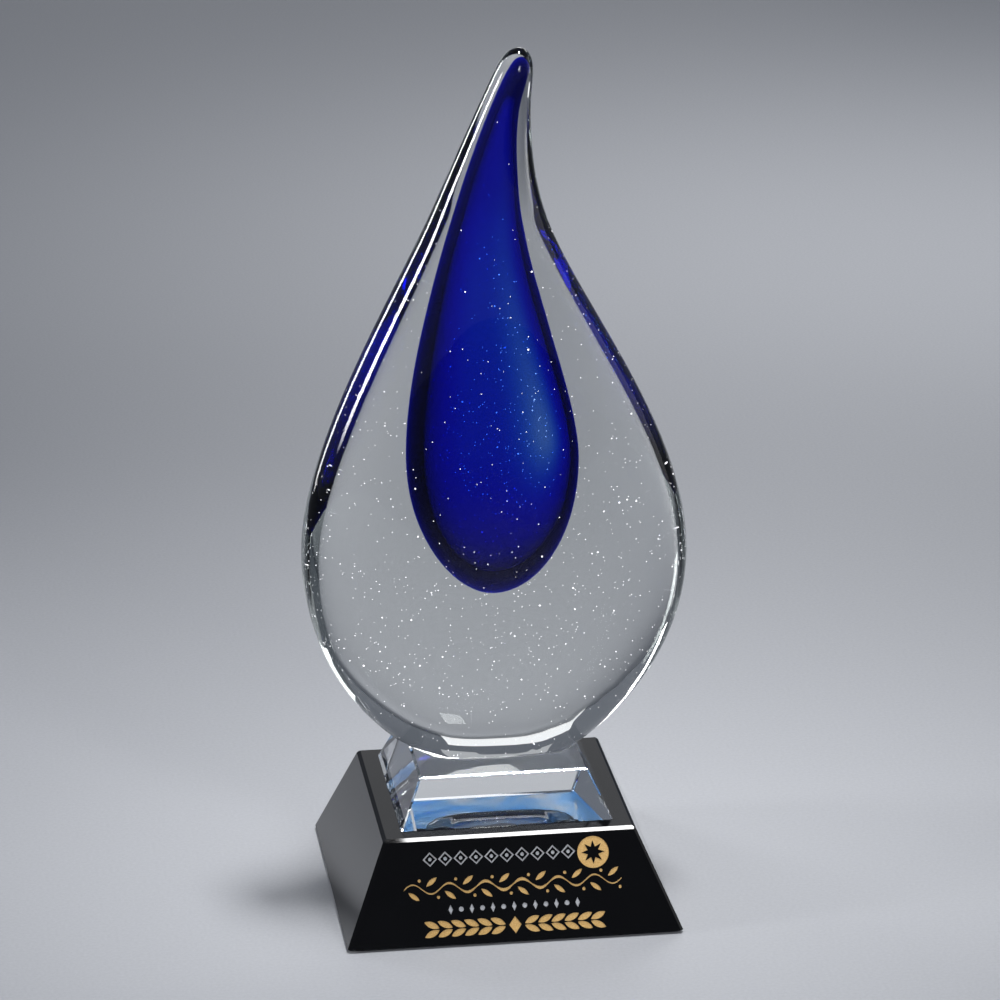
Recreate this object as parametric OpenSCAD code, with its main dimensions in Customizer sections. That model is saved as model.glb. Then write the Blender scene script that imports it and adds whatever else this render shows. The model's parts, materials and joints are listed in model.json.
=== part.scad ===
// Crystal teardrop award: a drop of cased glass, glued to a clear riser on a black pyramid base.
// The drop is one clear heart inside a cobalt layer inside a thick clear casing, pulled to a bent tip.
// Millimetres, +Z up, engraved face towards -Y. The origin is the centre of the pad's underside.

/* [Black base] */
// Width of the square base at its foot
base_foot_w = 101.6; // [98:0.2:110]
// Width of the square base at its top
base_top_w = 76; // [72:0.5:84]
// Height of the base
base_h = 29.5; // [28:0.5:34]
// Width of the polished bevel along the base's edges
base_bevel = 0.8; // [0.3:0.1:1.2]

/* [Felt pad] */
// Width of the square pad under the base
pad_w = 92; // [70:1:96]
// Thickness of the pad, which lifts the base off the table
pad_t = 1; // [0.5:0.1:2]
// Radius of the pad's corners
pad_corner_r = 5; // [1:0.5:12]

/* [Clear riser] */
// Width of the square riser at its foot
riser_foot_w = 64.4; // [58:0.2:70]
// Width of the square riser at its top
riser_top_w = 51; // [48:0.5:56]
// Height of the riser
riser_h = 14.5; // [10:0.5:20]
// Width of the polished bevel along the riser's edges
riser_bevel = 0.5; // [0.2:0.1:1]

/* [Glue films] */
// Thickness of the clear glue under the drop and under the riser
glue_t = 0.15; // [0.1:0.05:0.3]
// How far the glue stays back from the riser's edge
glue_inset = 1.2; // [0.5:0.1:3]

/* [Glass drop] */
// Widest part of the drop, from side to side
drop_w = 117.8; // [106:0.2:128]
// Height of the drop, from its ground foot to its tip
drop_h = 217.2; // [196:0.2:236]
// Thickness of the drop at its belly, from front to back
drop_t = 40; // [36:0.5:44]

/* [Engraving] */
// Depth of the blasted ornament in the base's front face
engrave_depth = 0.5; // [0.3:0.1:0.8]
// Thickness of the colour fill at the bottom of the ornament
fill_t = 0.3; // [0.1:0.1:0.3]

/* [Hidden] */

// Levels where one piece rests on the next
base_z = pad_t;
riser_z = base_z + base_h + glue_t;
drop_z = riser_z + riser_h + glue_t;

// Facets of every true round, and of the sections of the hand-worked glass
round_fn = 64;
glass_facets = 48;
core_facets = 32;

// Rings along the four stretches of a glass form: bowl, shoulder, neck and cap
casing_rings = [12, 14, 8, 6];
core_rings = [8, 10, 6, 4];

// The drop's outline is drawn at this size and scaled to the size asked for
outline_w = 117.8;
outline_h = 217.2;
outline_t = 40;

// Outlines are chains of Bezier curves in [x, z] from the foot up, with z from the ground foot.
// Depths are the matching chains of half-thickness along Y.
// Squareness is the exponent of the section's superellipse at each joint of the chain.
casing_left = [
    [-22, 0], [-34.5, 4.5], [-57.8, 25.5],
    [-57.8, 63.5], [-57.8, 96.5], [-26, 147.5],
    [-16.5, 169], [-11.2, 181], [-3, 199],
    [1.6, 208.5], [4, 213.5], [6.2, 217.2],
    [9.6, 217.2]];
casing_right = [
    [24, 0], [35, 6], [60, 27.5],
    [60, 60.5], [60, 98.5], [27.3, 139],
    [18, 164.5], [13.1, 178], [12.2, 194.5],
    [13.6, 206.5], [14.6, 213.5], [13, 217.2],
    [9.6, 217.2]];
casing_depth = [13.5, 18, 20, 20, 20, 17, 10.8, 8.7, 6.7, 6, 5.3, 3.2, 0];
casing_squareness = [3, 2.5, 2.1, 2, 2];

blue_left = [
    [0, 50.8], [-12.4, 50.8], [-25.1, 70.2],
    [-25.1, 91], [-25.1, 113.5], [-18.3, 135.8],
    [-9.2, 166.8], [-4.4, 183.3], [1.8, 198.7],
    [6.3, 208], [8.2, 212.1], [8.6, 213.8],
    [10.4, 213.8]];
blue_right = [
    [0, 50.8], [13.8, 50.8], [25.4, 68.2],
    [25.4, 91], [25.4, 110.7], [10.3, 143.9],
    [8.2, 169], [7.5, 179.7], [6.4, 196.1],
    [10.6, 207.5], [11.8, 210.7], [12, 213.8],
    [10.4, 213.8]];
blue_depth = [0, 5.5, 9.8, 9.8, 9.8, 6.5, 5, 4.3, 3.6, 3.4, 3, 1.8, 0];

heart_left = [
    [0, 57.7], [-10.3, 57.7], [-20.1, 71.3],
    [-20.1, 93], [-20.1, 112.1], [-13.4, 142.8],
    [-6.6, 167], [-3.2, 179.3], [2.5, 194.6],
    [4.5, 199.9], [5.3, 202.1], [6.1, 203.2],
    [7, 203.2]];
heart_right = [
    [0, 57.7], [12.3, 57.7], [23, 71.4],
    [23, 93], [23, 110.3], [7.2, 145.5],
    [6.9, 168.9], [6.8, 177.1], [6, 194.2],
    [7.5, 199.9], [8.1, 202.1], [7.9, 203.2],
    [7, 203.2]];
heart_depth = [0, 5, 9.2, 9.2, 9.2, 5.9, 4.4, 3.6, 2.9, 2.6, 2.2, 1.3, 0];

blue_squareness = [2.3, 2.3, 2.2, 2.1, 2.1];
heart_squareness = [2.3, 2.8, 2.6, 2.2, 2.1];

// The front face leans back by this angle from the upright
face_lean = atan((base_foot_w - base_top_w) / 2 / base_h);

// Heights of the ornament's rows up the sloping front face
lozenge_row = 25.7;
vine_row = 16.9;
bead_row = 10.4;
laurel_row = 4.8;

// Point at t, from 0 to 1, on the cubic Bezier curve of four control points or numbers
function bezier(p, t) =
    p[0] * pow(1 - t, 3) + 3 * p[1] * t * pow(1 - t, 2) + 3 * p[2] * t * t * (1 - t) + p[3] * pow(t, 3);

// Point at u on a chain, where the whole part of u picks the curve
function on_chain(chain, u) =
    let (last = (len(chain) - 1) / 3 - 1, k = min(floor(u), last))
    bezier([for (i = [0:3]) chain[3 * k + i]], u - k);

// Value at u between numbers that stand at whole values of u
function between(values, u) =
    let (k = min(floor(u), len(values) - 2))
    values[k] + (values[k + 1] - values[k]) * (u - k);

// Radius of a superellipse of unit half-axes in the direction a
function section_r(a, squareness) =
    pow(pow(abs(cos(a)), squareness) + pow(abs(sin(a)), squareness), -1 / squareness);

// Places of the rings along a chain, without its last point
function ring_places(rings) =
    [for (k = [0:len(rings) - 1]) for (i = [0:rings[k] - 1]) k + i / rings[k]];

// Stretches an outline point or a half-thickness from the drawn size to the size asked for
function sized(p) = [p[0] * drop_w / outline_w, p[1] * drop_h / outline_h];
function sized_depth(d) = d * drop_t / outline_t;

// Corner points of the section at u, running anticlockwise seen from above
function section(left, right, depth, squareness, u, facets) =
    let (l = sized(on_chain(left, u)), r = sized(on_chain(right, u)))
    let (middle = (l + r) / 2, reach = (r - l) / 2)
    let (half_t = sized_depth(on_chain(depth, u)), n = between(squareness, u))
    [for (j = [0:facets - 1])
        let (a = 360 * j / facets, k = section_r(a, n) * cos(a), y = section_r(a, n) * sin(a))
        [middle[0] + k * reach[0], half_t * y, middle[1] + k * reach[1]]];

// Closed form through all the sections of a chain; a foot of no width is left to the end point
module glass_form(left, right, depth, squareness, rings, facets) {
    pointed_foot = depth[0] == 0;
    places = [for (u = ring_places(rings)) if (u > 0 || !pointed_foot) u];
    foot = (sized(left[0]) + sized(right[0])) / 2;
    tip = sized(left[len(left) - 1]);
    corners = [for (u = places) each section(left, right, depth, squareness, u, facets)];
    foot_index = len(corners);
    tip_index = foot_index + 1;
    last_ring = (len(places) - 1) * facets;
    function next(j) = (j + 1) % facets;
    sides = [for (i = [0:len(places) - 2]) for (j = [0:facets - 1])
        let (low = i * facets, high = low + facets)
        each [[low + j, high + j, high + next(j)], [low + j, high + next(j), low + next(j)]]];
    foot_fan = [for (j = [0:facets - 1]) [foot_index, j, next(j)]];
    tip_fan = [for (j = [0:facets - 1]) [tip_index, last_ring + next(j), last_ring + j]];
    translate([0, 0, drop_z])
        polyhedron(
            points = concat(corners, [[foot[0], 0, foot[1]], [tip[0], 0, tip[1]]]),
            faces = concat(foot_fan, sides, tip_fan));
}

module casing_form() {
    glass_form(casing_left, casing_right, casing_depth, casing_squareness, casing_rings, glass_facets);
}

module blue_form() {
    glass_form(blue_left, blue_right, blue_depth, blue_squareness, core_rings, core_facets);
}

module heart_form() {
    glass_form(heart_left, heart_right, heart_depth, heart_squareness, core_rings, core_facets);
}

// Trapezium seen from the side, with its two top corners and its slanting edges' ends bevelled
module bevelled_side(foot_w, top_w, h, bevel) {
    polygon([
        [-foot_w / 2, 0], [foot_w / 2, 0],
        [top_w / 2 + bevel * (foot_w - top_w) / 2 / h, h - bevel], [top_w / 2 - bevel, h],
        [-top_w / 2 + bevel, h], [-top_w / 2 - bevel * (foot_w - top_w) / 2 / h, h - bevel]]);
}

// Upright slab with the given side view, wide enough to cut a square block
module side_slab(width) {
    rotate([90, 0, 0])
        linear_extrude(2 * width, center = true)
            children();
}

// Square block with sloping sides, bevelled around its top and down its four corners
module bevelled_pyramid(foot_w, top_w, h, bevel) {
    corner_foot = (foot_w - bevel) * sqrt(2);
    corner_top = (top_w - bevel) * sqrt(2);
    intersection() {
        side_slab(foot_w) bevelled_side(foot_w, top_w, h, bevel);
        rotate([0, 0, 90]) side_slab(foot_w) bevelled_side(foot_w, top_w, h, bevel);
        rotate([0, 0, 45]) side_slab(foot_w) bevelled_side(corner_foot, corner_top, h, bevel / 2);
        rotate([0, 0, 135]) side_slab(foot_w) bevelled_side(corner_foot, corner_top, h, bevel / 2);
    }
}

// Lifts a flat drawing onto the base's front face, from low to high above the face
module on_front_face(low, high) {
    translate([0, -base_foot_w / 2, base_z])
        rotate([90 - face_lean, 0, 0])
            translate([0, 0, low])
                linear_extrude(high - low)
                    children();
}

// Colour fill at the bottom of a blasted drawing
module fill() {
    on_front_face(-engrave_depth, fill_t - engrave_depth) children();
}

// Diamond with the given half-width and half-height
module lozenge(half_w, half_h) {
    polygon([[-half_w, 0], [0, -half_h], [half_w, 0], [0, half_h]]);
}

// Pointed leaf that lies along +X from the origin
module leaf(length, width) {
    arc_r = (length * length + width * width) / 4 / width;
    intersection() {
        translate([length / 2, arc_r - width / 2]) circle(arc_r, $fn = round_fn);
        translate([length / 2, width / 2 - arc_r]) circle(arc_r, $fn = round_fn);
    }
}

// Row of open lozenges, each with a dot at its centre
module lozenge_band() {
    count = 10;
    pitch = 4.65;
    first = -24.6;
    half = 2.2;
    stroke = 0.6;
    for (i = [0:count - 1])
        translate([first + i * pitch, lozenge_row]) {
            difference() {
                lozenge(half, half);
                lozenge(half - stroke, half - stroke);
            }
            circle(0.55, $fn = round_fn);
        }
}

// Round medal with a star left open in it
module star_disc() {
    points = 8;
    star_r = 3.5;
    waist_r = 1.7;
    translate([24.8, lozenge_row - 0.6])
        difference() {
            circle(4.8, $fn = round_fn);
            polygon([for (i = [0:2 * points - 1])
                let (r = i % 2 == 0 ? star_r : waist_r, a = 90 + 180 * i / points)
                [r * cos(a), r * sin(a)]]);
        }
}

// Waving stem that swells in the middle of each bend, with a leaf and a berry in every bend
module vine() {
    reach = 33;
    bends = 12;
    sway = 1.5;
    thin = 0.22;
    thick = 0.5;
    step = 0.75;
    function swing(x) = 90 * bends * (x + reach) / reach;
    function stem(x) = vine_row + sway * sin(swing(x));
    function half_stroke(x) = thin + (thick - thin) * pow(cos(90 * x / reach), 2) * abs(sin(swing(x)));
    xs = [for (x = [-reach:step:reach]) x];
    upper = [for (x = xs) [x, stem(x) + half_stroke(x)]];
    lower = [for (i = [len(xs) - 1:-1:0]) [xs[i], stem(xs[i]) - half_stroke(xs[i])]];
    polygon(concat(upper, lower));
    for (i = [0:bends - 1]) {
        bend_x = reach * ((2 * i + 1) / bends - 1);
        side = i % 2 == 0 ? 1 : -1;
        translate([bend_x - 1.4, vine_row - side * 0.8])
            rotate(-side * 38)
                leaf(4.2, 1.4);
        translate([bend_x + 2.1, vine_row + side * 2.6])
            circle(0.5, $fn = round_fn);
    }
}

// Row of round beads and upright lozenges in turn
module bead_row_drawing() {
    count = 13;
    pitch = 3.2;
    for (i = [0:count - 1])
        translate([(i - (count - 1) / 2) * pitch, bead_row])
            if (i % 2 == 0)
                lozenge(0.7, 1.5);
            else
                circle(0.75, $fn = round_fn);
}

// Two laurel sprigs that grow outwards from a centre lozenge
module laurel() {
    pairs = 6;
    pitch = 4;
    translate([0, laurel_row]) {
        lozenge(1.9, 2.6);
        for (side = [0, 1])
            mirror([side, 0])
                for (i = [0:pairs - 1], up = [0, 1])
                    mirror([0, up])
                        translate([2.9 + i * pitch, 0.3])
                            rotate(24)
                                leaf(4.9, 1.9);
    }
}

module felt_pad() {
    square_w = pad_w - 2 * pad_corner_r;
    color([0.08, 0.08, 0.09])
        linear_extrude(pad_t)
            union() {
                square([pad_w, square_w], center = true);
                square([square_w, pad_w], center = true);
                for (x = [-1, 1], y = [-1, 1])
                    translate([x * square_w / 2, y * square_w / 2])
                        circle(pad_corner_r, $fn = round_fn);
            }
}

module black_base() {
    above_face = 1;
    color([0.03, 0.03, 0.04])
        difference() {
            translate([0, 0, base_z])
                bevelled_pyramid(base_foot_w, base_top_w, base_h, base_bevel);
            on_front_face(-engrave_depth, above_face) lozenge_band();
            on_front_face(-engrave_depth, above_face) star_disc();
            on_front_face(-engrave_depth, above_face) vine();
            on_front_face(-engrave_depth, above_face) bead_row_drawing();
            on_front_face(-engrave_depth, above_face) laurel();
        }
}

module silver_lozenge_fill() {
    color([0.62, 0.63, 0.65]) fill() lozenge_band();
}

module gold_disc_fill() {
    color([0.85, 0.68, 0.39]) fill() star_disc();
}

module gold_vine_fill() {
    color([0.85, 0.68, 0.39]) fill() vine();
}

module silver_bead_fill() {
    color([0.62, 0.63, 0.65]) fill() bead_row_drawing();
}

module gold_laurel_fill() {
    color([0.85, 0.68, 0.39]) fill() laurel();
}

module riser_glue() {
    glue_w = riser_foot_w - 2 * glue_inset;
    color([0.8, 0.85, 0.9, 0.5])
        translate([-glue_w / 2, -glue_w / 2, base_z + base_h])
            cube([glue_w, glue_w, glue_t]);
}

module crystal_riser() {
    color([0.8, 0.88, 0.95, 0.5])
        translate([0, 0, riser_z])
            bevelled_pyramid(riser_foot_w, riser_top_w, riser_h, riser_bevel);
}

// Film of glue with the outline of the drop's ground foot
module drop_glue() {
    foot = section(casing_left, casing_right, casing_depth, casing_squareness, 0, glass_facets);
    color([0.8, 0.85, 0.9, 0.5])
        translate([0, 0, drop_z - glue_t])
            linear_extrude(glue_t)
                polygon([for (p = foot) [p[0], p[1]]]);
}

module glass_casing() {
    color([0.85, 0.9, 0.95, 0.35])
        difference() {
            casing_form();
            blue_form();
        }
}

module blue_layer() {
    color([0.03, 0.1, 0.7, 0.7])
        difference() {
            blue_form();
            heart_form();
        }
}

module clear_heart() {
    color([0.85, 0.9, 0.95, 0.35])
        heart_form();
}

felt_pad();
black_base();
silver_lozenge_fill();
gold_disc_fill();
gold_vine_fill();
silver_bead_fill();
gold_laurel_fill();
riser_glue();
crystal_riser();
drop_glue();
glass_casing();
blue_layer();
clear_heart();
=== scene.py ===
import json
import math
import random

import bpy
from mathutils import Matrix, Vector

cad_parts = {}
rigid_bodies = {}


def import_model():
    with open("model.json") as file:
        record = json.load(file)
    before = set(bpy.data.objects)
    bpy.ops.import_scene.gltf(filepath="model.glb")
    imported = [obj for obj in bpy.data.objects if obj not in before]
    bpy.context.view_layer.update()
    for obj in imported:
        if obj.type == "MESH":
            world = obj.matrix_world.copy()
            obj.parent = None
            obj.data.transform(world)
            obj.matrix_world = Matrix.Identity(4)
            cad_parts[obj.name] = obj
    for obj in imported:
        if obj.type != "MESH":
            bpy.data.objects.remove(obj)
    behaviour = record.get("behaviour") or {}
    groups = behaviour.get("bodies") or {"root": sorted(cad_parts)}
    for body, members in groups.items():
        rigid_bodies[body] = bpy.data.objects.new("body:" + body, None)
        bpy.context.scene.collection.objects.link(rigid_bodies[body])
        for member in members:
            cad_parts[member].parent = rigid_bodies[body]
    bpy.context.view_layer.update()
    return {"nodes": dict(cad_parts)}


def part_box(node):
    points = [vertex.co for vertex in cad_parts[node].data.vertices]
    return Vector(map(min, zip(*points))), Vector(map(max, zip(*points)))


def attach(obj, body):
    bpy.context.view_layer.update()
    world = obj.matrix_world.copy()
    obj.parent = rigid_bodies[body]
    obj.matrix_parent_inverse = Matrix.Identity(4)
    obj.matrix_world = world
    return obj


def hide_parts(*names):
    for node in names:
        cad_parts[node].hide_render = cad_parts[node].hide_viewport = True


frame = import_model()


# ------------------------------------------------------------------ felt pad
# A square of black pressed wool felt, about 1 mm thick, die-cut with rounded corners
# and stuck under the base so that the black crystal doesn't scratch what it stands on.

MM = 0.001


def only(piece):
    """Leaves one object selected and active."""
    bpy.ops.object.select_all(action="DESELECT")
    piece.select_set(True)
    bpy.context.view_layer.objects.active = piece


def add(tree, kind, settings=(), links=()):
    """Adds a node, sets its sockets or properties, and links its inputs from (node, output)."""
    node = tree.nodes.new(kind)
    for name, value in dict(settings).items():
        if name in node.inputs:
            node.inputs[name].default_value = value
        else:
            setattr(node, name, value)
    for name, (source, output) in dict(links).items():
        tree.links.new(source.outputs[output], node.inputs[name])
    return node


def linear(colour):
    """Linear RGBA of an sRGB hex colour."""
    channels = [int(colour[i : i + 2], 16) / 255 for i in (0, 2, 4)]
    return [c / 12.92 if c <= 0.04045 else ((c + 0.055) / 1.055) ** 2.4 for c in channels] + [1]


def material(name):
    """A new material with its node tree and its Principled shader."""
    made = bpy.data.materials.new(name)
    made.use_nodes = True
    return made, made.node_tree, made.node_tree.nodes["Principled BSDF"]


def finish_with(piece, made):
    """Gives a piece or a CAD node one material."""
    piece.data.materials.clear()
    piece.data.materials.append(made)


# Pressed wool felt: matt, soft and slightly uneven, with fibre clumps about half a millimetre wide.
felt, tree, shader = material("black_pressed_felt")
place = add(tree, "ShaderNodeTexCoord")
clumps = add(
    tree,
    "ShaderNodeTexNoise",
    {"Scale": 2200, "Detail": 4},
    {"Vector": (place, "Object")},
)
shades = add(tree, "ShaderNodeValToRGB", links={"Fac": (clumps, "Fac")})
shades.color_ramp.elements[0].color = linear("0E0E10")
shades.color_ramp.elements[1].color = linear("2A2A2D")
nap = add(
    tree,
    "ShaderNodeBump",
    {"Strength": 0.6, "Distance": 0.2 * MM},
    {"Height": (clumps, "Fac")},
)
tree.links.new(shades.outputs["Color"], shader.inputs["Base Color"])
tree.links.new(nap.outputs["Normal"], shader.inputs["Normal"])
shader.inputs["Roughness"].default_value = 0.95
shader.inputs["Sheen Weight"].default_value = 0.3

pad_corner = 5 * MM
pad_rim = 0.25 * MM
pad_low, pad_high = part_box("felt_pad")
bpy.ops.object.select_all(action="DESELECT")
bpy.ops.mesh.primitive_cube_add(size=1, location=(pad_low + pad_high) / 2)
pad = bpy.context.object
pad.name = "felt_pad_cut"
pad.scale = pad_high - pad_low
bpy.ops.object.transform_apply(location=True, rotation=True, scale=True)
bpy.ops.object.mode_set(mode="EDIT")
bpy.ops.mesh.select_mode(type="EDGE")
bpy.ops.mesh.select_all(action="DESELECT")
bpy.ops.object.mode_set(mode="OBJECT")
for edge in pad.data.edges:
    ends = [pad.data.vertices[v].co for v in edge.vertices]
    edge.select = abs(ends[0].z - ends[1].z) > 0.5 * (pad_high.z - pad_low.z)
bpy.ops.object.mode_set(mode="EDIT")
bpy.ops.mesh.bevel(offset=pad_corner, segments=8, affect="EDGES")
bpy.ops.object.mode_set(mode="OBJECT")
rim = pad.modifiers.new("pressed_rim", "BEVEL")
rim.width = pad_rim
rim.segments = 2
rim.angle_limit = math.radians(50)
bpy.ops.object.modifier_apply(modifier=rim.name)
finish_with(pad, felt)
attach(pad, "root")
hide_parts("felt_pad")


# ---------------------------------------------------------------- black base
# A solid block of black optical crystal, sawn as a truncated pyramid and polished on all
# faces and bevels. The CAD node has its true shape and keeps it.

# Polished black crystal: near-black body with a mirror-smooth, very slightly hazed surface.
# Its mirror is held at half strength, so that the side stays black above a pale floor.
black_crystal, tree, shader = material("polished_black_crystal")
place = add(tree, "ShaderNodeTexCoord")
haze = add(tree, "ShaderNodeTexNoise", {"Scale": 60, "Detail": 6}, {"Vector": (place, "Object")})
wipe = add(
    tree,
    "ShaderNodeMapRange",
    {"From Min": 0.35, "From Max": 0.75, "To Min": 0.02, "To Max": 0.07},
    {"Value": (haze, "Fac")},
)
depth = add(tree, "ShaderNodeValToRGB", links={"Fac": (haze, "Fac")})
depth.color_ramp.elements[0].color = linear("050506")
depth.color_ramp.elements[1].color = linear("0B0B0D")
tree.links.new(depth.outputs["Color"], shader.inputs["Base Color"])
tree.links.new(wipe.outputs["Result"], shader.inputs["Roughness"])
shader.inputs["IOR"].default_value = 1.52
shader.inputs["Specular IOR Level"].default_value = 0.25
finish_with(frame["nodes"]["black_base"], black_crystal)


# ------------------------------------------------------------- colour fills
# The ornament is sandblasted half a millimetre deep, and satin gold and silver colour is
# rubbed into it and lies at the bottom. The CAD nodes are the fills themselves.


def satin_fill(name, dark, light):
    """Metallic colour fill over a blasted floor: satin, with grain 0.25 mm wide."""
    made, tree, shader = material(name)
    place = add(tree, "ShaderNodeTexCoord")
    grain = add(
        tree,
        "ShaderNodeTexNoise",
        {"Scale": 4000, "Detail": 3},
        {"Vector": (place, "Object")},
    )
    shades = add(tree, "ShaderNodeValToRGB", links={"Fac": (grain, "Fac")})
    shades.color_ramp.elements[0].position = 0.3
    shades.color_ramp.elements[0].color = linear(dark)
    shades.color_ramp.elements[1].position = 0.7
    shades.color_ramp.elements[1].color = linear(light)
    frost = add(
        tree,
        "ShaderNodeBump",
        {"Strength": 0.35, "Distance": 0.05 * MM},
        {"Height": (grain, "Fac")},
    )
    tree.links.new(shades.outputs["Color"], shader.inputs["Base Color"])
    tree.links.new(frost.outputs["Normal"], shader.inputs["Normal"])
    shader.inputs["Metallic"].default_value = 0.35
    shader.inputs["Roughness"].default_value = 0.42
    return made


# Gold and silver colour: a lacquer full of fine metal flakes, part paint and part metal.
gold = satin_fill("satin_gold_colour_fill", "C4964C", "EBC582")
silver = satin_fill("satin_silver_colour_fill", "9C9EA2", "CFD1D5")
for name in ("gold_disc_fill", "gold_vine_fill", "gold_laurel_fill"):
    finish_with(frame["nodes"][name], gold)
for name in ("silver_lozenge_fill", "silver_bead_fill"):
    finish_with(frame["nodes"][name], silver)


# ---------------------------------------------------------------- riser glue
# A film of clear ultraviolet-cured adhesive, pressed out between base and riser to a
# slightly wavy edge that stops a millimetre short of the riser's own edge.

# Air left above and below the film, so that the riser's foot still mirrors as it does in air.
GAP = 0.02 * MM

# Cured acrylic adhesive: clear, a little cloudy where it holds fine air.
clear_glue, tree, shader = material("clear_cured_adhesive")
place = add(tree, "ShaderNodeTexCoord")
cloud = add(tree, "ShaderNodeTexNoise", {"Scale": 350, "Detail": 5}, {"Vector": (place, "Object")})
frosting = add(
    tree,
    "ShaderNodeMapRange",
    {"From Min": 0.4, "From Max": 0.7, "To Min": 0.05, "To Max": 0.4},
    {"Value": (cloud, "Fac")},
)
tree.links.new(frosting.outputs["Result"], shader.inputs["Roughness"])
shader.inputs["Base Color"].default_value = linear("E6E9EE")
shader.inputs["Transmission Weight"].default_value = 0.5
shader.inputs["IOR"].default_value = 1.48

# The film under the riser holds more fine air. Its far half carries painted light: a blue tinge for
# light that has come down through the cobalt, with pale painted streaks where the drop gathers that
# light.
film_glue_painted_light, tree, shader = material("cloudy_adhesive_painted_caustic")
place = add(tree, "ShaderNodeTexCoord")
where = add(tree, "ShaderNodeSeparateXYZ", links={"Vector": (place, "Object")})
painted_light_far_half = add(
    tree,
    "ShaderNodeMapRange",
    {"From Min": 10 * MM, "From Max": 15 * MM},
    {"Value": (where, "Y")},
)
# Painted caustic streaks: stretched noise marks where the drop gathers light onto the film.
stretch = add(
    tree,
    "ShaderNodeMapping",
    {"Scale": (45, 190, 1), "Rotation": (0, 0, 0.12)},
    {"Vector": (place, "Object")},
)
painted_caustic_streaks = add(
    tree,
    "ShaderNodeTexNoise",
    {"Detail": 3, "Distortion": 1.2, "Scale": 1},
    {"Vector": (stretch, "Vector")},
)
# Painted light: blue for light that has passed through the cobalt, pale where it gathers into
# streaks.
painted_cobalt_light = add(tree, "ShaderNodeValToRGB", links={"Fac": (painted_caustic_streaks, "Fac")})
painted_cobalt_light.color_ramp.elements[0].position = 0.4
painted_cobalt_light.color_ramp.elements[0].color = linear("5CA8F2")
painted_cobalt_light.color_ramp.elements[1].position = 0.68
painted_cobalt_light.color_ramp.elements[1].color = linear("F2F7FF")
painted_cobalt_light.color_ramp.elements.new(0.55).color = linear("9CCBF8")
# The near half keeps the glue's own pale colour; the far half takes the painted light.
glue_and_painted_light = add(
    tree,
    "ShaderNodeMix",
    {"data_type": "RGBA"},
    {"Factor": (painted_light_far_half, "Result")},
)
glue_and_painted_light.inputs[6].default_value = linear("F0F0F4")
tree.links.new(painted_cobalt_light.outputs["Color"], glue_and_painted_light.inputs[7])
tree.links.new(glue_and_painted_light.outputs[2], shader.inputs["Base Color"])
shader.inputs["Roughness"].default_value = 0.5
shader.inputs["IOR"].default_value = 1.48

film_cuts = 31
edge_pull = 0.035
edge_power = 6
glue_low, glue_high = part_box("riser_glue")
bpy.ops.object.select_all(action="DESELECT")
bpy.ops.mesh.primitive_cube_add(size=1, location=(glue_low + glue_high) / 2)
film = bpy.context.object
film.name = "riser_glue_film"
film.scale = glue_high - glue_low - Vector((0, 0, 2 * GAP))
bpy.ops.object.transform_apply(location=True, rotation=True, scale=True)
bpy.ops.object.mode_set(mode="EDIT")
bpy.ops.mesh.select_all(action="SELECT")
bpy.ops.mesh.subdivide(number_cuts=film_cuts)
bpy.ops.object.mode_set(mode="OBJECT")
# The edge draws in by up to edge_pull of its reach, and less and less towards the middle.
half_film = (glue_high.x - glue_low.x) / 2
for vertex in film.data.vertices:
    edge_share = (max(abs(vertex.co.x), abs(vertex.co.y)) / half_film) ** edge_power
    along = math.atan2(vertex.co.y, vertex.co.x)
    wave = 0.5 + 0.3 * math.sin(9 * along + 1) + 0.2 * math.sin(23 * along)
    vertex.co.x *= 1 - edge_pull * edge_share * wave
    vertex.co.y *= 1 - edge_pull * edge_share * wave
finish_with(film, film_glue_painted_light)
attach(film, "root")
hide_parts("riser_glue")


# ------------------------------------------------------------- crystal riser
# A low block of clear optical crystal, cut as a truncated pyramid with slim bevels and
# polished all over. The CAD node has its true shape and keeps it.

# Optical crystal: colourless and dense, a little brighter at its edges than soda glass.
crystal, tree, shader = material("polished_optical_crystal")
place = add(tree, "ShaderNodeTexCoord")
polish = add(tree, "ShaderNodeTexNoise", {"Scale": 120, "Detail": 4}, {"Vector": (place, "Object")})
smooth = add(
    tree,
    "ShaderNodeMapRange",
    {"From Min": 0.3, "From Max": 0.8, "To Min": 0.0, "To Max": 0.012},
    {"Value": (polish, "Fac")},
)
tree.links.new(smooth.outputs["Result"], shader.inputs["Roughness"])
shader.inputs["Base Color"].default_value = linear("FBFDFF")
shader.inputs["Transmission Weight"].default_value = 1
shader.inputs["IOR"].default_value = 1.54
finish_with(frame["nodes"]["crystal_riser"], crystal)


# -------------------------------------------------------------- glass casing
# The outer gather of clear glass, swung and pulled to a bent tip while hot, pressed a
# little flat front and back, and ground flat at the foot. Its surface is fire-polished.


def quad_copy(node, name):
    """A copy of a CAD node's mesh as one welded skin of quads."""
    source = frame["nodes"][node]
    piece = bpy.data.objects.new(name, source.data.copy())
    bpy.context.scene.collection.objects.link(piece)
    only(piece)
    bpy.ops.object.mode_set(mode="EDIT")
    bpy.ops.mesh.select_all(action="SELECT")
    bpy.ops.mesh.remove_doubles(threshold=0.001 * MM)
    flat_enough = math.radians(60)
    bpy.ops.mesh.tris_convert_to_quads(face_threshold=flat_enough, shape_threshold=flat_enough)
    bpy.ops.object.mode_set(mode="OBJECT")
    return piece


def smooth_skin(piece, levels):
    """Subdivides a skin for good and shades it smooth."""
    only(piece)
    finer = piece.modifiers.new("finer", "SUBSURF")
    finer.levels = levels
    finer.render_levels = levels
    bpy.ops.object.modifier_apply(modifier=finer.name)
    bpy.ops.object.shade_smooth()


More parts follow.
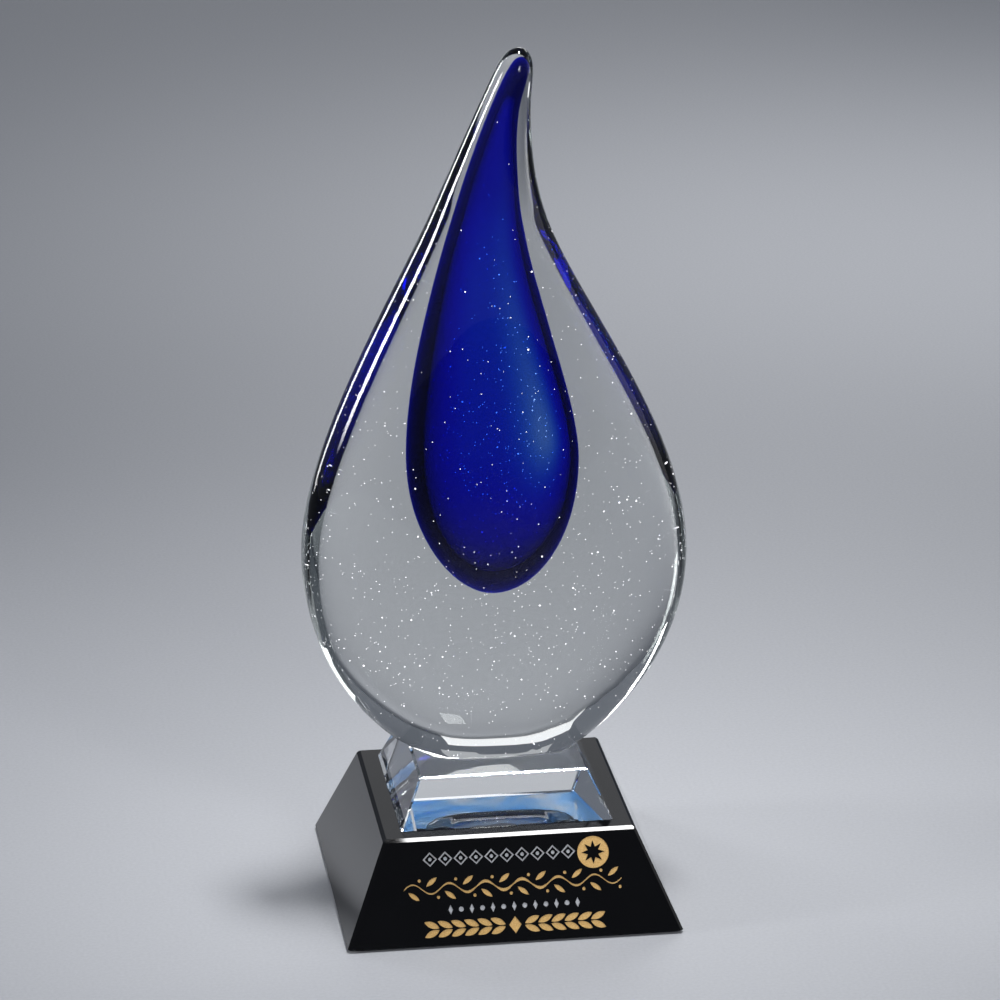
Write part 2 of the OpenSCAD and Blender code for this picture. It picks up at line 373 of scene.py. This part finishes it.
# Clear soda-lime studio glass: faint grey-green depth, with soft ripples about 15 mm long.
casing_glass, tree, shader = material("clear_studio_glass")
place = add(tree, "ShaderNodeTexCoord")
ripple = add(tree, "ShaderNodeTexNoise", {"Scale": 70, "Detail": 2}, {"Vector": (place, "Object")})
waves = add(
    tree,
    "ShaderNodeBump",
    {"Strength": 0.25, "Distance": 0.15 * MM},
    {"Height": (ripple, "Fac")},
)
tree.links.new(waves.outputs["Normal"], shader.inputs["Normal"])
shader.inputs["Base Color"].default_value = (1, 1, 1, 1)
shader.inputs["Roughness"].default_value = 0
shader.inputs["Transmission Weight"].default_value = 1
shader.inputs["IOR"].default_value = 1.5
depth = add(tree, "ShaderNodeVolumeAbsorption", {"Color": (0.62, 0.66, 0.65, 1), "Density": 16})
tree.links.new(depth.outputs["Volume"], tree.nodes["Material Output"].inputs["Volume"])

# Only the outer skin is kept: the cavity's wall would put air between the casing and its core.
foot_sink = 0.05 * MM
foot_middle = 5 * MM
casing = quad_copy("glass_casing", "casing_skin")
casing_low, casing_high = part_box("glass_casing")
bpy.ops.object.mode_set(mode="EDIT")
bpy.ops.mesh.select_mode(type="VERT")
bpy.ops.mesh.select_all(action="DESELECT")
bpy.ops.object.mode_set(mode="OBJECT")
widest = max(casing.data.vertices, key=lambda v: v.co.x)
widest.select = True
bpy.ops.object.mode_set(mode="EDIT")
bpy.ops.mesh.select_linked()
bpy.ops.mesh.select_all(action="INVERT")
bpy.ops.mesh.delete(type="VERT")
bpy.ops.mesh.select_mode(type="EDGE")
bpy.ops.object.mode_set(mode="OBJECT")
foot_level = casing_low.z + 0.01 * MM
for edge in casing.data.edges:
    ends = [casing.data.vertices[v].co for v in edge.vertices]
    at_foot = all(end.z < foot_level for end in ends)
    edge.select = at_foot and min(end.to_2d().length for end in ends) > foot_middle
bpy.ops.object.mode_set(mode="EDIT")
bpy.ops.transform.edge_crease(value=1)
bpy.ops.object.mode_set(mode="OBJECT")
smooth_skin(casing, 2)
# The foot sinks through the glue and just into the riser, so that light passes between them.
riser_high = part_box("crystal_riser")[1]
for vertex in casing.data.vertices:
    if vertex.co.z < foot_level:
        vertex.co.z = riser_high.z - foot_sink
finish_with(casing, casing_glass)
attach(casing, "root")
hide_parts("glass_casing")


# ----------------------------------------------------------------- drop glue
# Clear adhesive joins the ground foot to the riser with no air between them, and stands
# proud around the foot as a low bead that was wiped round before it was cured.

bead_width = 0.7 * MM
foot_film = frame["nodes"]["drop_glue"]
bead = bpy.data.objects.new("drop_glue_bead", foot_film.data.copy())
bpy.context.scene.collection.objects.link(bead)
only(bead)
bpy.ops.object.mode_set(mode="EDIT")
bpy.ops.mesh.select_all(action="SELECT")
bpy.ops.mesh.remove_doubles(threshold=0.001 * MM)
bpy.ops.mesh.dissolve_limited(angle_limit=math.radians(1))
bpy.ops.mesh.select_mode(type="FACE")
bpy.ops.mesh.select_all(action="DESELECT")
bpy.ops.object.mode_set(mode="OBJECT")
for face in bead.data.polygons:
    face.select = abs(face.normal.z) > 0.5
bpy.ops.object.mode_set(mode="EDIT")
bpy.ops.mesh.delete(type="ONLY_FACE")
bpy.ops.object.mode_set(mode="OBJECT")
ring = bead.modifiers.new("ring", "SOLIDIFY")
ring.thickness = bead_width
ring.offset = 0.9
bpy.ops.object.modifier_apply(modifier=ring.name)
swell = bead.modifiers.new("swell", "SUBSURF")
swell.levels = 2
swell.render_levels = 2
bpy.ops.object.modifier_apply(modifier=swell.name)
bpy.ops.object.shade_smooth()
# Five low humps round the foot, where the wiping left more glue.
for vertex in bead.data.vertices:
    lift = 0.5 + 0.3 * math.sin(5 * math.atan2(vertex.co.y, vertex.co.x))
    vertex.co.z += (vertex.co.z - riser_high.z) * lift * 2
finish_with(bead, clear_glue)
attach(bead, "root")
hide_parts("drop_glue")


# ------------------------------------------------- cobalt layer and clear heart
# The first gather is clear; it was rolled over cobalt glass and gathered over again with
# clear, so the core is a blue shell around a clear heart, fused to the casing all over.

# Cobalt glass: deep blue that passes almost no red, black where it is seen edge-on. It is
# fused to clear glass on both sides, so its index is the small step between the two.
cobalt, tree, shader = material("cobalt_cased_glass")
place = add(tree, "ShaderNodeTexCoord")
cords = add(tree, "ShaderNodeTexNoise", {"Scale": 150, "Detail": 3}, {"Vector": (place, "Object")})
drawn = add(
    tree,
    "ShaderNodeBump",
    {"Strength": 0.2, "Distance": 0.1 * MM},
    {"Height": (cords, "Fac")},
)
tree.links.new(drawn.outputs["Normal"], shader.inputs["Normal"])
shader.inputs["Base Color"].default_value = (1, 1, 1, 1)
shader.inputs["Roughness"].default_value = 0
shader.inputs["Transmission Weight"].default_value = 1
shader.inputs["IOR"].default_value = 1.01
# Taken off in each millimetre of cobalt: red 6.6, green 3.7 and blue 0.3, as natural logarithms.
dye = add(tree, "ShaderNodeVolumeAbsorption", {"Color": (0.03, 0.45, 0.957, 1), "Density": 6800})
tree.links.new(dye.outputs["Volume"], tree.nodes["Material Output"].inputs["Volume"])

blue = quad_copy("blue_layer", "cobalt_shell")
smooth_skin(blue, 2)
finish_with(blue, cobalt)
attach(blue, "root")
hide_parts("blue_layer")

# Heart glass: clear and slightly denser than what lies around it, so its edge catches light.
heart_glass, tree, shader = material("clear_heart_glass")
place = add(tree, "ShaderNodeTexCoord")
cords = add(tree, "ShaderNodeTexNoise", {"Scale": 90}, {"Vector": (place, "Object")})
drawn = add(
    tree,
    "ShaderNodeBump",
    {"Strength": 0.1, "Distance": 0.1 * MM},
    {"Height": (cords, "Fac")},
)
tree.links.new(drawn.outputs["Normal"], shader.inputs["Normal"])
shader.inputs["Base Color"].default_value = (1, 1, 1, 1)
shader.inputs["Roughness"].default_value = 0
shader.inputs["Transmission Weight"].default_value = 1
shader.inputs["IOR"].default_value = 1.06

heart_gap = 0.1 * MM
heart = quad_copy("clear_heart", "heart_gather")
smooth_skin(heart, 2)
bpy.ops.object.mode_set(mode="EDIT")
bpy.ops.mesh.select_all(action="SELECT")
bpy.ops.transform.shrink_fatten(value=-heart_gap)
bpy.ops.object.mode_set(mode="OBJECT")
finish_with(heart, heart_glass)
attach(heart, "root")
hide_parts("clear_heart")


# -------------------------------------------------------------- seed bubbles
# Fine seeds, the air bubbles that studio glass traps as it melts, up to 0.6 mm wide: many in
# the casing, more of them low down, and fewer in the heart.

# Air in glass, drawn as white specks: the white is a painted glint for the light each seed turns
# back from its walls, and a painted glow of its own stands for what its walls gather from all
# round.
seed_air_painted_glow, tree, shader = material("trapped_air_painted_glow")
place = add(tree, "ShaderNodeTexCoord")
mix = add(tree, "ShaderNodeTexNoise", {"Scale": 300}, {"Vector": (place, "Object")})
tint = add(tree, "ShaderNodeValToRGB", links={"Fac": (mix, "Fac")})
tint.color_ramp.elements[0].color = linear("D5D0E0")
tint.color_ramp.elements[1].color = linear("FFFFFF")
tree.links.new(tint.outputs["Color"], shader.inputs["Base Color"])
shader.inputs["Roughness"].default_value = 0.25
shader.inputs["Transmission Weight"].default_value = 0.3
# Painted glow: the seeds give out light of their own, though they are no lamp.
shader.inputs["Emission Color"].default_value = (1, 1, 1, 1)
shader.inputs["Emission Strength"].default_value = 1.1


def inside(skin, point, margin):
    """Whether a point lies inside a closed skin, at least a margin away from it."""
    found, nearest, normal, _ = skin.closest_point_on_mesh(point)
    away = point - nearest
    return found and away.dot(normal) < 0 and away.length > margin


def seeds(name, count, low, high, allowed, widths):
    """Seed bubbles strewn at random where they are allowed, joined as one piece."""
    fullness, large_share, large_factor = 1.15, 0.06, 1.8
    chance = random.Random(name)
    bpy.ops.object.select_all(action="DESELECT")
    bpy.ops.mesh.primitive_ico_sphere_add(subdivisions=1, radius=0.5)
    pattern = bpy.context.object
    corners = [v.co.copy() for v in pattern.data.vertices]
    faces = [tuple(p.vertices) for p in pattern.data.polygons]
    bpy.data.objects.remove(pattern)
    points, skins, made = [], [], 0
    while made < count:
        spot = Vector([chance.uniform(a, b) for a, b in zip(low, high)])
        height = (spot.z - low.z) / (high.z - low.z)
        if chance.random() > fullness - height or not allowed(spot):
            continue
        width = chance.uniform(*widths) * (1 if chance.random() > large_share else large_factor)
        skins += [tuple(len(points) + i for i in f) for f in faces]
        points += [spot + c * width for c in corners]
        made += 1
    mesh = bpy.data.meshes.new(name)
    mesh.from_pydata(points, [], skins)
    piece = bpy.data.objects.new(name, mesh)
    bpy.context.scene.collection.objects.link(piece)
    only(piece)
    bpy.ops.object.shade_smooth()
    finish_with(piece, seed_air_painted_glow)
    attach(piece, "root")


def in_casing(point):
    """Whether a point lies in the casing's own glass, clear of its surface and of the cobalt."""
    _, nearest, normal, _ = blue.closest_point_on_mesh(point)
    away = point - nearest
    clear_of_blue = away.dot(normal) > 0 and away.length > 0.5 * MM
    return clear_of_blue and inside(casing, point, 0.6 * MM)


def in_heart(point):
    """Whether a point lies in the heart, clear of its surface."""
    return inside(heart, point, 0.4 * MM)


seeds("casing_seeds", 1100, casing_low, casing_high, in_casing, (0.16 * MM, 0.34 * MM))
heart_low, heart_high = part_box("clear_heart")
seeds("heart_seeds", 200, heart_low, heart_high, in_heart, (0.16 * MM, 0.3 * MM))


# --------------------------------------------------------------------- studio
# A plain pale floor and soft light: boxes overhead, to the sides, in front and low behind, with
# one more that makes a brighter pool on the floor behind and to the right.


def soft_box(name, place, size, power, aim=(0, 0, 0.12), spread=180):
    """A rectangular soft light that faces the award; a grid on it can narrow its spread."""
    bpy.ops.object.select_all(action="DESELECT")
    bpy.ops.object.light_add(type="AREA", location=place)
    lamp = bpy.context.object
    lamp.name = name
    lamp.data.shape = "RECTANGLE"
    lamp.data.size, lamp.data.size_y = size
    lamp.data.energy = power
    lamp.data.spread = math.radians(spread)
    lamp.visible_camera = False
    lamp.rotation_euler = (Vector(aim) - Vector(place)).to_track_quat("-Z", "Y").to_euler()


# Matt painted board: pale grey, with a fine tooth about a millimetre wide.
floor_paint, tree, shader = material("pale_grey_board")
place = add(tree, "ShaderNodeTexCoord")
tooth = add(tree, "ShaderNodeTexNoise", {"Scale": 900, "Detail": 3}, {"Vector": (place, "Object")})
shades = add(tree, "ShaderNodeValToRGB", links={"Fac": (tooth, "Fac")})
shades.color_ramp.elements[0].color = linear("ACAEB3")
shades.color_ramp.elements[1].color = linear("BEC0C5")
tree.links.new(shades.outputs["Color"], shader.inputs["Base Color"])
shader.inputs["Roughness"].default_value = 0.6

bpy.ops.object.select_all(action="DESELECT")
bpy.ops.mesh.primitive_plane_add(size=12)
floor = bpy.context.object
floor.name = "studio_floor"
floor.data.materials.append(floor_paint)

# Place, size and aim in metres, power in watts, spread in degrees.
soft_box("pool_box", (0.3, 0.7, 0.5), (0.45, 0.45), 2.3, aim=(0.3, 0.7, 0))
soft_box("top_box", (0.11, 0.02, 0.9), (0.22, 0.14), 0.65, spread=60)
soft_box("left_strip", (-0.6, 0.6, 0.3), (0.15, 0.5), 0.25, spread=50)
soft_box("left_box", (-0.75, -0.05, 0.45), (0.12, 0.5), 0.1, aim=(0, 0, 0.24), spread=20)
soft_box("right_strip", (0.7, 0.0, 0.3), (0.3, 0.6), 0.3)
soft_box("back_strip", (0.12, 2.0, 0.13), (0.8, 0.24), 0.6)
soft_box("back_panel", (0.25, 2.1, 0.85), (1.0, 0.6), 0.7)
soft_box("front_box", (0.36, -0.9, 0.56), (0.2, 0.2), 0.13, aim=(0, -0.05, 0.02), spread=40)

world = bpy.data.worlds.new("studio_air")
world.use_nodes = True
world.node_tree.nodes["Background"].inputs["Color"].default_value = linear("A4ABB8")
world.node_tree.nodes["Background"].inputs["Strength"].default_value = 0.38
bpy.context.scene.world = world
bpy.context.scene.view_settings.view_transform = "Standard"

# Long lens from a little above and to the left of the front.
TURN, RISE, ROLL = (math.radians(a) for a in (-7.46, 18.21, -0.53))
AIM = Vector((2.9, 0, 123.3)) * MM
DISTANCE = 1430.5 * MM
back = Vector((math.sin(TURN) * math.cos(RISE), -math.cos(TURN) * math.cos(RISE), math.sin(RISE)))
turned = (
    Matrix.Rotation(TURN, 4, "Z")
    @ Matrix.Rotation(math.pi / 2 - RISE, 4, "X")
    @ Matrix.Rotation(ROLL, 4, "Z")
)
bpy.ops.object.camera_add()
camera = bpy.context.object
camera.name = "studio_camera"
camera.matrix_world = Matrix.Translation(AIM + back * DISTANCE) @ turned
camera.data.sensor_width = 36
camera.data.lens = 170.7
camera.data.clip_start = 0.05
bpy.context.scene.camera = camera

light_paths = bpy.context.scene.cycles
light_paths.max_bounces = 32
light_paths.transmission_bounces = 32
light_paths.glossy_bounces = 12
light_paths.transparent_max_bounces = 32
light_paths.sample_clamp_indirect = 6
